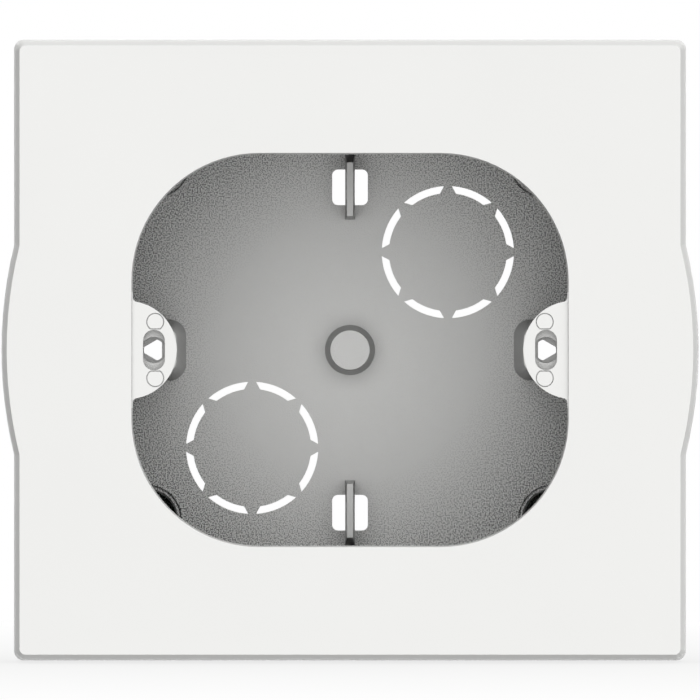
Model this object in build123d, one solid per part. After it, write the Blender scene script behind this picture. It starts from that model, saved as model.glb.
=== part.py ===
from build123d import *
import math
import os

# Surface switch box in two plastic mouldings: a base that screws to the wall, and a front frame
# that closes over it. Both are drawn lying on their backs, x to the right, y up the wall and z out
# of the wall, and stood up at the end. All sizes are in millimetres.

# Outside of the box, measured at the wall, where the draft makes it largest
body_width = 103.8
body_height = 95.9
box_depth = 44.0
corner_radius = 1.5
bulge_chord = 32.3
bulge_rise = 1.96
wall_draft = 1.0
front_bevel_width = 0.6
front_bevel_depth = 2.0

# Front frame: plate, skirt, and the device opening
plate_thickness = 2.0
skirt_thickness = 2.0
opening_width = 66.5
opening_height = 59.9
opening_corner_radius = 19.4
opening_flare = 0.2

# Lugs of the frame, which lie on the towers of the base under the device screws
device_pitch = 60.0
lug_setback = 0.4
lug_radius = 7.5
lug_shift = 4.0
lug_root_radius = 0.7
lug_root_depth = 1.6
lug_slot_width = 3.35
lug_slot_length = 6.2
pin_mark_radius = 1.37
pin_mark_height = 4.3
pin_mark_inset = 0.2
pin_mark_margin = 0.05
pin_line_width = 0.15
pin_line_depth = 0.3

# Floor and wall of the base
fit_clearance = 0.25
base_wall_thickness = 1.6
base_wall_height = 16.0
floor_gap = 5.0
floor_thickness = 2.0

# Clip nibs on the base wall, and the pockets for them in the skirt
nib_length = 9.0
nib_height = 0.8
nib_land = 0.4
nib_rise = 2.4
nib_level = 10.0
nib_spacing = 56.0
nib_clearance = 0.2

# Towers with a three-lobed pilot hole for the device screws
tower_foot_width = 9.4
tower_waist_width = 7.2
tower_top_width = 6.8
tower_foot_corner = 2.5
tower_top_corner = 1.7
tower_flare_height = 10.0
tower_wall = 1.5
tower_core_corner = 1.0
pilot_length = 14.0
pilot_flat_radius = 1.2
pilot_lobe_radius = 1.65
lead_in_radius = 2.0
lead_in_depth = 2.0

# Wells for the wall screws, in an upper and a lower pair
well_rim_radius = 5.05
well_rim_height = 0.6
well_line_width = 0.25
well_line_depth = 0.8
well_lip_radius = 4.75
well_lip_depth = 0.5
well_radius = 4.45
well_wall = 1.5
well_bottom = 2.0
wall_screw_radius = 2.2
upper_well_pitch = 60.0
upper_well_height = 28.8
lower_well_pitch = 62.5
lower_well_height = 26.1

# Cable knock-outs, held by bridges that narrow towards the outside
knockout_offset = 15.1
knockout_radius = 10.2
knockout_slot_width = 1.1
bridge_count = 8
bridge_outer_width = 1.2
bridge_inner_width = 2.4

# Tie bars for a cable tie, each across a window in the floor
bar_centre = 25.1
bar_foot_length = 10.0
bar_foot_width = 1.5
bar_top_width = 0.94
bar_height = 6.0
bar_inner_slope = 0.55
bar_outer_slope = 1.2
window_width = 5.5
window_corner_radius = 0.9

# Boss in the middle of the floor where the mould is filled, dimpled at the back
gate_foot_radius = 3.87
gate_top_radius = 3.02
gate_height = 4.0
gate_dimple_radius = 2.0
gate_dimple_depth = 4.0

# Stiffening ribs behind the floor
rib_thickness = 1.2

# Levels out of the wall
plate_back = box_depth - plate_thickness
lug_front = box_depth - lug_setback
lug_back = plate_back
floor_front = floor_gap + floor_thickness
tower_waist = floor_front + tower_flare_height
draft_slope = math.tan(math.radians(wall_draft))

# Distances from the drafted outside
skirt_inside = skirt_thickness
base_outside = skirt_inside + fit_clearance
base_inside = base_outside + base_wall_thickness

LEFT_AND_RIGHT = (-1, 1)
DOWN_AND_UP = (-1, 1)


def outline(inset, corner):
    """Front-view outline of the box, with a bulge on each side, drawn in by inset all round."""
    width = body_width - 2 * inset
    height = body_height - 2 * inset
    shape = RectangleRounded(width, height, corner) if corner else Rectangle(width, height)
    bulge_radius = (bulge_chord**2 / 4 + bulge_rise**2) / (2 * bulge_rise)
    bulge_centre = body_width / 2 + bulge_rise - bulge_radius
    strip = Rectangle(body_width + 4 * bulge_rise, bulge_chord + 2 * bulge_rise)
    for side in LEFT_AND_RIGHT:
        half = Pos(side * body_width / 2, 0) * Rectangle(body_width, body_height)
        shape += Pos(side * bulge_centre, 0) * Circle(bulge_radius - inset) & strip & half
    return shape


def drafted(inset, low, high, corner=0.0):
    """Block between two levels whose sides follow the drafted outside at a constant inset."""
    ends = [Pos(0, 0, z) * outline(inset + z * draft_slope, corner) for z in (low, high)]
    return loft(ends, ruled=True)


def raised(profile, low, high):
    """Straight block of a profile between two levels."""
    return extrude(Pos(0, 0, low) * profile, high - low)


def opening(grow):
    """Device opening with round corners, grown by an amount all round."""
    return RectangleRounded(
        opening_width + 2 * grow, opening_height + 2 * grow, opening_corner_radius + grow
    )


def lug(side):
    """Lug with its slot and the lines that the mould's two ejector pins leave beside the slot."""
    axis = side * device_pitch / 2
    reach = opening_width / 2 + lug_root_depth
    root_x = side * (reach - lug_root_depth / 2)
    root = Pos(root_x, 0) * Rectangle(lug_root_depth, 2 * lug_radius + 4 * lug_root_radius)
    profile = root + Pos(axis + side * lug_shift, 0) * Circle(lug_radius)
    profile &= Pos(side * reach / 2, 0) * Rectangle(reach, body_height)
    corners = profile.vertices().filter_by(lambda v: abs(abs(v.X) - opening_width / 2) < 1e-6)
    meets = corners.filter_by(lambda v: abs(v.Y) < lug_radius + lug_root_radius)
    profile = fillet(meets, lug_root_radius)
    body = raised(profile, lug_back, lug_front)
    slot = Pos(axis, 0) * SlotOverall(lug_slot_length, lug_slot_width, rotation=90)
    body -= raised(slot, lug_back, lug_front)
    flat = lug_slot_length / 2 + pin_mark_margin
    for up in DOWN_AND_UP:
        mark = Pos(axis - side * pin_mark_inset, up * pin_mark_height) * Circle(pin_mark_radius)
        mark -= Pos(axis, 0) * Rectangle(4 * pin_mark_radius, 2 * flat)
        line = mark - offset(mark, -pin_line_width)
        body -= raised(line, lug_front - pin_line_depth, lug_front)
    return body


def nib(side, up, room):
    """Clip nib on the base wall, wedge-shaped towards the front; room makes it a pocket."""
    reach = body_height / 2 - base_outside - nib_level * draft_slope
    tip = reach + nib_height + room
    wedge = Polygon(
        (reach - base_wall_thickness / 2, nib_level - room),
        (tip, nib_level - room),
        (tip, nib_level + nib_land + room),
        (reach - base_wall_thickness / 2, nib_level + nib_rise + room),
        align=None,
    )
    length = nib_length + 2 * room
    solid = extrude(Plane.YZ * wedge, length / 2, both=True)
    solid = Pos(side * nib_spacing / 2, 0, 0) * solid
    return solid if up > 0 else mirror(solid, Plane.XZ)


def nibs(room=0.0):
    """The four clip nibs, or with room their pockets."""
    return [nib(side, up, room) for side in LEFT_AND_RIGHT for up in DOWN_AND_UP]


def front_frame():
    """Plate and skirt in one shell, with the opening and the two lugs."""
    bevel_back = box_depth - front_bevel_depth
    bevel_foot = outline(bevel_back * draft_slope, corner_radius)
    face_inset = bevel_back * draft_slope + front_bevel_width
    face = outline(face_inset, corner_radius - front_bevel_width)
    shell = drafted(0, 0, bevel_back, corner_radius)
    shell += loft([Pos(0, 0, bevel_back) * bevel_foot, Pos(0, 0, box_depth) * face], ruled=True)
    shell -= drafted(skirt_inside, 0, plate_back)
    mouth = [Pos(0, 0, plate_back) * opening(0), Pos(0, 0, box_depth) * opening(opening_flare)]
    shell -= loft(mouth, ruled=True)
    for side in LEFT_AND_RIGHT:
        shell += lug(side)
    for pocket in nibs(nib_clearance):
        shell -= pocket
    return shell


def tower(side):
    """Tower drafted on all four sides and flared at its foot, from the floor up to its lug."""
    foot = RectangleRounded(tower_foot_width, tower_foot_width, tower_foot_corner)
    waist = RectangleRounded(tower_waist_width, tower_waist_width, tower_top_corner)
    top = RectangleRounded(tower_top_width, tower_top_width, tower_top_corner)
    body = loft([Pos(0, 0, floor_front) * foot, Pos(0, 0, tower_waist) * waist])
    body += loft([Pos(0, 0, tower_waist) * waist, Pos(0, 0, lug_back) * top])
    return Pos(side * device_pitch / 2, 0, 0) * body


def tower_core(width):
    """Section of the hollow in a tower of some width."""
    inside = width - 2 * tower_wall
    return RectangleRounded(inside, inside, tower_core_corner)


def tower_bore(side):
    """Screw hole of a tower: round lead-in, three-lobed pilot, and the hollow left from behind."""
    pilot_back = lug_back - pilot_length
    bore = raised(Circle(lead_in_radius), lug_back - lead_in_depth, lug_back)
    lobes = RegularPolygon(pilot_flat_radius, 3, major_radius=False, rotation=0, align=None)
    lobes &= Circle(pilot_lobe_radius)
    bore += raised(lobes, pilot_back, lug_back)
    share = (pilot_back - tower_waist) / (lug_back - tower_waist)
    pilot_width = tower_waist_width - share * (tower_waist_width - tower_top_width)
    mouth = Pos(0, 0, floor_front) * tower_core(tower_foot_width)
    waist = Pos(0, 0, tower_waist) * tower_core(tower_waist_width)
    end = Pos(0, 0, pilot_back) * tower_core(pilot_width)
    bore += loft([mouth, waist])
    bore += loft([waist, end])
    bore += raised(tower_core(tower_foot_width), floor_gap, floor_front)
    turned = bore if side > 0 else Rot(0, 0, 180) * bore
    return Pos(side * device_pitch / 2, 0, 0) * turned


def well_places():
    """Centres of the four wells."""
    for side in LEFT_AND_RIGHT:
        yield side * upper_well_pitch / 2, upper_well_height
        yield side * lower_well_pitch / 2, -lower_well_height


def well_cup():
    """Outside of a well: a cup that stands on the wall, and the rim raised round its mouth."""
    cup = raised(Circle(well_radius + well_wall), 0, floor_front)
    return cup + raised(Circle(well_rim_radius), floor_front, floor_front + well_rim_height)


def well_bore():
    """Inside of a well: sloping lip, room for the screw head, screw hole, and the line round it."""
    top = floor_front + well_rim_height
    profile = Polygon(
        (0, 0),
        (wall_screw_radius, 0),
        (wall_screw_radius, well_bottom),
        (well_radius, well_bottom),
        (well_radius, top - well_lip_depth),
        (well_lip_radius, top),
        (0, top),
        align=None,
    )
    line = Circle(well_rim_radius + well_line_width) - Circle(well_rim_radius)
    return revolve(Plane.XZ * profile, Axis.Z) + raised(line, floor_front - well_line_depth, floor_front)


def knockout_slots():
    """Ring of slots round a knock-out, cut where the bridges do not hold it."""
    inner = knockout_radius - knockout_slot_width
    ring = Circle(knockout_radius) - Circle(inner)
    flare = (bridge_inner_width - bridge_outer_width) / 2
    bridge = Polygon(
        (inner - knockout_slot_width, bridge_inner_width / 2 + flare),
        (inner - knockout_slot_width, -bridge_inner_width / 2 - flare),
        (knockout_radius, -bridge_outer_width / 2),
        (knockout_radius + knockout_slot_width, -bridge_outer_width / 2),
        (knockout_radius + knockout_slot_width, bridge_outer_width / 2),
        (knockout_radius, bridge_outer_width / 2),
        align=None,
    )
    for place in PolarLocations(0, bridge_count):
        ring -= place * bridge
    return raised(ring, floor_gap, floor_front)


def tie_bar():
    """Upper tie bar: a drafted rib whose two ends slope by different amounts."""
    top_length = bar_foot_length - bar_inner_slope - bar_outer_slope
    top_shift = (bar_inner_slope - bar_outer_slope) / 2
    foot = Pos(0, bar_centre, floor_front) * Rectangle(bar_foot_width, bar_foot_length)
    top_place = Pos(0, bar_centre + top_shift, floor_front + bar_height)
    return loft([foot, top_place * Rectangle(bar_top_width, top_length)])


def window():
    """Window in the floor under the upper tie bar."""
    hole = RectangleRounded(window_width, window_width, window_corner_radius)
    return raised(Pos(0, bar_centre) * hole, floor_gap, floor_front)


def gate_boss():
    """Drafted boss in the middle of the floor."""
    return Pos(0, 0, floor_front) * Cone(
        gate_foot_radius,
        gate_top_radius,
        gate_height,
        align=(Align.CENTER, Align.CENTER, Align.MIN),
    )


def back_ribs():
    """Ribs behind the floor, from each well and tower out to the wall of the base."""
    ribs = []
    reach_x = body_width / 2 - base_outside - base_wall_thickness / 2
    reach_y = body_height / 2 - base_outside - base_wall_thickness / 2
    for x, y in well_places():
        end_x = math.copysign(reach_x, x)
        end_y = math.copysign(reach_y, y)
        ribs.append(Pos((x + end_x) / 2, y) * Rectangle(abs(end_x - x), rib_thickness))
        ribs.append(Pos(x, (y + end_y) / 2) * Rectangle(rib_thickness, abs(end_y - y)))
    for side in LEFT_AND_RIGHT:
        inner_x = (device_pitch + tower_foot_width) / 2 - tower_wall
        for up in DOWN_AND_UP:
            level = up * (tower_foot_width - tower_wall) / 2
            centre = Pos(side * (inner_x + reach_x) / 2, level)
            ribs.append(centre * Rectangle(reach_x - inner_x, rib_thickness))
    return [raised(rib, 0, floor_gap) for rib in ribs]


def tower_feet():
    """Square collars behind the floor that carry the towers back to the wall."""
    square = RectangleRounded(tower_foot_width, tower_foot_width, tower_foot_corner)
    foot = raised(square - tower_core(tower_foot_width), 0, floor_gap)
    return [Pos(side * device_pitch / 2, 0, 0) * foot for side in LEFT_AND_RIGHT]


def wall_base():
    """Floor held off the wall by its rim, with the towers, wells, knock-outs and tie bars."""
    base = drafted(base_outside, 0, base_wall_height)
    base -= drafted(base_inside, floor_front, base_wall_height)
    base -= drafted(base_inside, 0, floor_gap)
    for solid in [*back_ribs(), *tower_feet(), *nibs()]:
        base += solid
    for x, y in well_places():
        base += Pos(x, y, 0) * well_cup()
    for x, y in well_places():
        base -= Pos(x, y, 0) * well_bore()
    for side in LEFT_AND_RIGHT:
        base += tower(side)
        base -= tower_bore(side)
        base -= Pos(side * knockout_offset, side * knockout_offset, 0) * knockout_slots()
    for turn in (0, 180):
        base -= Rot(0, 0, turn) * window()
        base += Rot(0, 0, turn) * tie_bar()
    base += gate_boss()
    base -= raised(Circle(gate_dimple_radius), floor_gap, floor_gap + gate_dimple_depth)
    return base


os.makedirs("parts", exist_ok=True)
for name, solid in (("wall_base", wall_base()), ("front_frame", front_frame())):
    export_step(Plane.XZ * solid, f"parts/{name}.step")
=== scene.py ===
import math

import bpy
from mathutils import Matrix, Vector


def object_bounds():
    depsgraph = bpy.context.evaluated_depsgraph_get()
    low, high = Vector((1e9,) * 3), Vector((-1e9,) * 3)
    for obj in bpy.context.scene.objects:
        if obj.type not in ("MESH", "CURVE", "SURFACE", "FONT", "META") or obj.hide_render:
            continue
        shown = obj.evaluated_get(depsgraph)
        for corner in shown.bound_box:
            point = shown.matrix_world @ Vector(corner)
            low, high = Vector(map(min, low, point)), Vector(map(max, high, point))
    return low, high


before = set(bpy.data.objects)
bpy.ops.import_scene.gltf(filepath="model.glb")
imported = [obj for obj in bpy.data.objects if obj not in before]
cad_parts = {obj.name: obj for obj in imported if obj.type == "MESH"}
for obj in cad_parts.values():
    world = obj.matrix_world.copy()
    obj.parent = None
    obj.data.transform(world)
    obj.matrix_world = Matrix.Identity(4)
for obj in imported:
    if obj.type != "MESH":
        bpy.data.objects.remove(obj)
cad_low, cad_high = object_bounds()

MM = 0.001
WHITE = (1, 1, 1, 1)
FRONT = (0, -1, 0)

# ABS, and how far its roughness varies with the height of the skin
ABS_IOR = 1.53
SHINE_SPREAD = 0.06

# Sizes in the moulded skins. Both skins are drawn coarser and deeper than real ones, which would be
# too fine to show at this picture's scale.
SATIN_GRAIN = 0.22 * MM
SATIN_DEPTH = 0.006 * MM
SPARK_GRAIN = 0.2 * MM
SPARK_DEPTH = 0.06 * MM
PIT_DETAIL = 1.0
FLOW_CLOUDS = 26 * MM
CLOUD_DETAIL = 3.0
EDGE_ROUNDING = 0.05 * MM
EDGE_SAMPLES = 6

# Painted shade on the floor: near the middle of the opening its colour is left as it is. Further off
# than the first distance the colour starts to be darkened and speckled through the pits of the
# coarse skin, as painted shade of the front plate. At the second distance it is fully darkened.
PAINTED_SHADE_START = 42 * MM
PAINTED_SHADE_FULL = 51 * MM

# Heights in the coarse skin, of 0 to 1, over which the painted shade runs from its darkest at a
# pit's bottom to its palest from the rim up
PIT_BOTTOM = 0.39
PIT_RIM = 0.53

# Camera: straight at the front from far off, as the photograph has no visible convergence
PICTURE_WIDTH = 107.1 * MM
LENS = 1500.0
SENSOR = 36.0

# Dim light from all round, and soft boxes: where each stands, how bright it is, and how fast it
# fades from its middle
DOME_LIGHT = 0.023
SOFT_BOXES = [
    ((-0.1, -0.988, 0.12), 1.535, 1.0),
    ((0, 1, 0), 4.2, 8.0),
    ((0, 0, 1), 0.95, 4.0),
    ((1, 0, 0), 0.7, 8.0),
]

# Black card at the left, which gives the white box a darker edge on that side: where it stands, and
# the cosines of the angles from its middle where the light is still whole and where none is left
CARD_MIDDLE = (-1, 0, 0)
CARD_WHOLE = 0.5
CARD_NONE = 0.8

# Share of the floor that shows plain white: near the box the rest takes its shadow, and far off, in
# metres, the floor runs into the white background
FLOOR_PALE = "#E6E6E4"
FLOOR_WHITE_SHARE = 0.8
SHADOW_NEAR = 0.08
SHADOW_FAR = 0.6
FLOOR_SIZE = 6.0


def linear(code):
    """Linear colour of an sRGB hex value."""
    parts = [int(code[i:i + 2], 16) / 255 for i in (1, 3, 5)]
    parts = [p / 12.92 if p <= 0.04045 else ((p + 0.055) / 1.055) ** 2.4 for p in parts]
    return (*parts, 1.0)


def add(tree, kind, inputs=None, **settings):
    """Adds a node with its settings; an input is a value or the socket that feeds it."""
    made = tree.nodes.new(kind)
    for key, value in settings.items():
        setattr(made, key, value)
    for key, value in (inputs or {}).items():
        if isinstance(value, bpy.types.NodeSocket):
            tree.links.new(value, made.inputs[key])
        else:
            made.inputs[key].default_value = value
    return made


def emptied_tree(owner):
    """Node tree of a new material or world, cleared for its own nodes."""
    owner.use_nodes = True
    owner.node_tree.nodes.clear()
    return owner.node_tree


def shown_directly(tree):
    """Socket that is 1 for rays that show a background itself, and 0 for rays that gather light."""
    rays = add(tree, "ShaderNodeLightPath").outputs
    seen = rays["Is Camera Ray"]
    for kind in ("Is Glossy Ray", "Is Transmission Ray"):
        either = add(tree, "ShaderNodeMath", {0: seen, 1: rays[kind]}, operation="MAXIMUM")
        seen = either.outputs["Value"]
    return seen


def painted_shade_on_pits(tree, colour, pits, spots, darkest, palest):
    """Colour of a coarse skin with painted shade: darkened and speckled by its pits on the faces
    turned to the front, more so further from the middle of the opening.
    """
    mouth = (0, cad_low.y, 0)
    reach = add(tree, "ShaderNodeVectorMath", {0: spots["Object"], 1: mouth}, operation="DISTANCE")
    # Painted shade grows from none to full between the two distances from the middle of the opening
    painted_shade_ramp = add(
        tree,
        "ShaderNodeMapRange",
        {
            "Value": reach.outputs["Value"],
            "From Min": PAINTED_SHADE_START,
            "From Max": PAINTED_SHADE_FULL,
        },
    )
    facing = add(
        tree,
        "ShaderNodeVectorMath",
        {0: spots["Normal"], 1: FRONT},
        operation="DOT_PRODUCT",
    )
    amount = add(
        tree,
        "ShaderNodeMath",
        {0: painted_shade_ramp.outputs["Result"], 1: facing.outputs["Value"]},
        operation="MULTIPLY",
    )
    mottle = add(
        tree,
        "ShaderNodeMapRange",
        {
            "Value": pits,
            "From Min": PIT_BOTTOM,
            "From Max": PIT_RIM,
            "To Min": darkest,
            "To Max": palest,
        },
    )
    mottled = add(
        tree,
        "ShaderNodeMix",
        {"Factor": amount.outputs["Value"], "A": colour, "B": mottle.outputs["Result"]},
        data_type="RGBA",
        blend_type="MULTIPLY",
    )
    return mottled.outputs["Result"]


def moulded_plastic(name, pale, deep, grain, depth, roughness, painted_shade_range=None):
    """ABS as it leaves the mould: faint flow clouds in the colour, and a fine pitted skin. Given a
    range of painted shade, the pits also darken and speckle the colour away from the middle of the
    opening.
    """
    material = bpy.data.materials.new(name)
    tree = emptied_tree(material)
    spots = add(tree, "ShaderNodeTexCoord").outputs
    clouds = add(
        tree,
        "ShaderNodeTexNoise",
        {"Vector": spots["Object"], "Scale": 1 / FLOW_CLOUDS, "Detail": CLOUD_DETAIL},
    )
    clouded = add(
        tree,
        "ShaderNodeMix",
        {"Factor": clouds.outputs["Fac"], "A": linear(deep), "B": linear(pale)},
        data_type="RGBA",
    )
    colour = clouded.outputs["Result"]
    pitted = add(
        tree,
        "ShaderNodeTexNoise",
        {"Vector": spots["Object"], "Scale": 1 / grain, "Detail": PIT_DETAIL},
    )
    pits = pitted.outputs["Fac"]
    # Painted shade: the colour is darkened and speckled away from the middle of the opening
    if painted_shade_range:
        colour = painted_shade_on_pits(tree, colour, pits, spots, *painted_shade_range)
    shine = add(
        tree,
        "ShaderNodeMapRange",
        {"Value": pits, "To Min": roughness - SHINE_SPREAD, "To Max": roughness + SHINE_SPREAD},
    )
    rounded = add(tree, "ShaderNodeBevel", {"Radius": EDGE_ROUNDING}, samples=EDGE_SAMPLES)
    skin = add(
        tree,
        "ShaderNodeBump",
        {"Height": pits, "Distance": depth, "Strength": 1.0, "Normal": rounded.outputs["Normal"]},
    )
    plastic = add(
        tree,
        "ShaderNodeBsdfPrincipled",
        {
            "Base Color": colour,
            "Roughness": shine.outputs["Result"],
            "Normal": skin.outputs["Normal"],
            "IOR": ABS_IOR,
        },
    )
    add(tree, "ShaderNodeOutputMaterial", {"Surface": plastic.outputs["BSDF"]})
    return material


def light_table():
    """Clear acrylic that light passes through to the box. To the eye it is almost white."""
    material = bpy.data.materials.new("pale_light_table")
    tree = emptied_tree(material)
    place = add(tree, "ShaderNodeTexCoord").outputs["Object"]
    level = add(tree, "ShaderNodeVectorMath", {0: place, 1: (1, 1, 0)}, operation="MULTIPLY")
    reach = add(tree, "ShaderNodeVectorMath", {0: level.outputs["Vector"]}, operation="LENGTH")
    share = add(
        tree,
        "ShaderNodeMapRange",
        {
            "Value": reach.outputs["Value"],
            "From Min": SHADOW_NEAR,
            "From Max": SHADOW_FAR,
            "To Min": FLOOR_WHITE_SHARE,
            "To Max": 1.0,
        },
    )
    sheet = add(tree, "ShaderNodeBsdfDiffuse", {"Color": linear(FLOOR_PALE)})
    white = add(tree, "ShaderNodeEmission", {"Color": WHITE, "Strength": 1.0})
    face = add(
        tree,
        "ShaderNodeMixShader",
        {"Fac": share.outputs["Result"], 1: sheet.outputs["BSDF"], 2: white.outputs["Emission"]},
    )
    clear = add(tree, "ShaderNodeBsdfTransparent")
    mixed = add(
        tree,
        "ShaderNodeMixShader",
        {"Fac": shown_directly(tree), 1: clear.outputs["BSDF"], 2: face.outputs["Shader"]},
    )
    add(tree, "ShaderNodeOutputMaterial", {"Surface": mixed.outputs["Shader"]})
    return material


def studio_floor():
    """Wide level floor that the box stands on."""
    half = FLOOR_SIZE / 2
    corners = [(-half, -half), (half, -half), (half, half), (-half, half)]
    mesh = bpy.data.meshes.new("studio_floor")
    mesh.from_pydata([(x, y, cad_low.z) for x, y in corners], [], [(0, 1, 2, 3)])
    mesh.materials.append(light_table())
    floor = bpy.data.objects.new("studio_floor", mesh)
    bpy.context.scene.collection.objects.link(floor)


def soft_boxes(tree, way):
    """Socket with the light that the dim dome and the soft boxes send from a way."""
    level = DOME_LIGHT
    for middle, brightness, fading in SOFT_BOXES:
        near = add(tree, "ShaderNodeVectorMath", {0: way, 1: middle}, operation="DOT_PRODUCT")
        lit = add(tree, "ShaderNodeMath", {0: near.outputs["Value"], 1: 0.0}, operation="MAXIMUM")
        fade = add(tree, "ShaderNodeMath", {0: lit.outputs["Value"], 1: fading}, operation="POWER")
        total = add(
            tree,
            "ShaderNodeMath",
            {0: fade.outputs["Value"], 1: brightness, 2: level},
            operation="MULTIPLY_ADD",
        )
        level = total.outputs["Value"]
    return level


def past_black_card(tree, way):
    """Socket with the share of light that comes past the black card from a way."""
    near = add(tree, "ShaderNodeVectorMath", {0: way, 1: CARD_MIDDLE}, operation="DOT_PRODUCT")
    past = add(
        tree,
        "ShaderNodeMapRange",
        {
            "Value": near.outputs["Value"],
            "From Min": CARD_WHOLE,
            "From Max": CARD_NONE,
            "To Min": 1.0,
            "To Max": 0.0,
        },
    )
    return past.outputs["Result"]


def studio_light():
    """Soft studio light all round. What the camera sees of it is plain white."""
    world = bpy.data.worlds.new("soft_studio")
    bpy.context.scene.world = world
    tree = emptied_tree(world)
    way = add(tree, "ShaderNodeTexCoord").outputs["Generated"]
    level = add(
        tree,
        "ShaderNodeMath",
        {0: soft_boxes(tree, way), 1: past_black_card(tree, way)},
        operation="MULTIPLY",
    )
    light = add(tree, "ShaderNodeBackground", {"Color": WHITE, "Strength": level.outputs["Value"]})
    white = add(tree, "ShaderNodeBackground", {"Color": WHITE, "Strength": 1.0})
    mixed = add(
        tree,
        "ShaderNodeMixShader",
        {
            "Fac": shown_directly(tree),
            1: light.outputs["Background"],
            2: white.outputs["Background"],
        },
    )
    add(tree, "ShaderNodeOutputWorld", {"Surface": mixed.outputs["Shader"]})


def camera():
    """Camera level with the middle of the box."""
    data = bpy.data.cameras.new("camera")
    data.lens = LENS
    data.sensor_width = SENSOR
    made = bpy.data.objects.new("camera", data)
    bpy.context.scene.collection.objects.link(made)
    distance = PICTURE_WIDTH * LENS / SENSOR
    made.location = (0, cad_low.y - distance, 0)
    made.rotation_euler = (math.pi / 2, 0, 0)
    bpy.context.scene.camera = made


FINISHES = {
    # White ABS from a finely etched mould: an even, bright satin face with soft reflections
    "front_frame": moulded_plastic(
        "white_abs_satin_etched",
        pale="#F0F0EE",
        deep="#EDEDEB",
        grain=SATIN_GRAIN,
        depth=SATIN_DEPTH,
        roughness=0.68,
    ),
    # White ABS from a spark-eroded mould: a matt, sandy floor, with painted shade that darkens and
    # speckles it away from the middle of the opening
    "wall_base": moulded_plastic(
        "white_abs_spark_eroded",
        pale="#E4E4E2",
        deep="#E0E0DE",
        grain=SPARK_GRAIN,
        depth=SPARK_DEPTH,
        roughness=0.65,
        # Painted shade: multipliers of the floor colour from a pit's bottom to its rim, where the
        # shade is full
        painted_shade_range=(0.1, 1.2),
    ),
}
for name, material in FINISHES.items():
    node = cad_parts[name]
    node.data.materials.clear()
    node.data.materials.append(material)

studio_floor()
studio_light()
camera()
bpy.context.scene.view_settings.view_transform = "Standard"

# The photograph's deep corners are dark: light goes straight to a surface and isn't passed on
bpy.context.scene.cycles.diffuse_bounces = 0
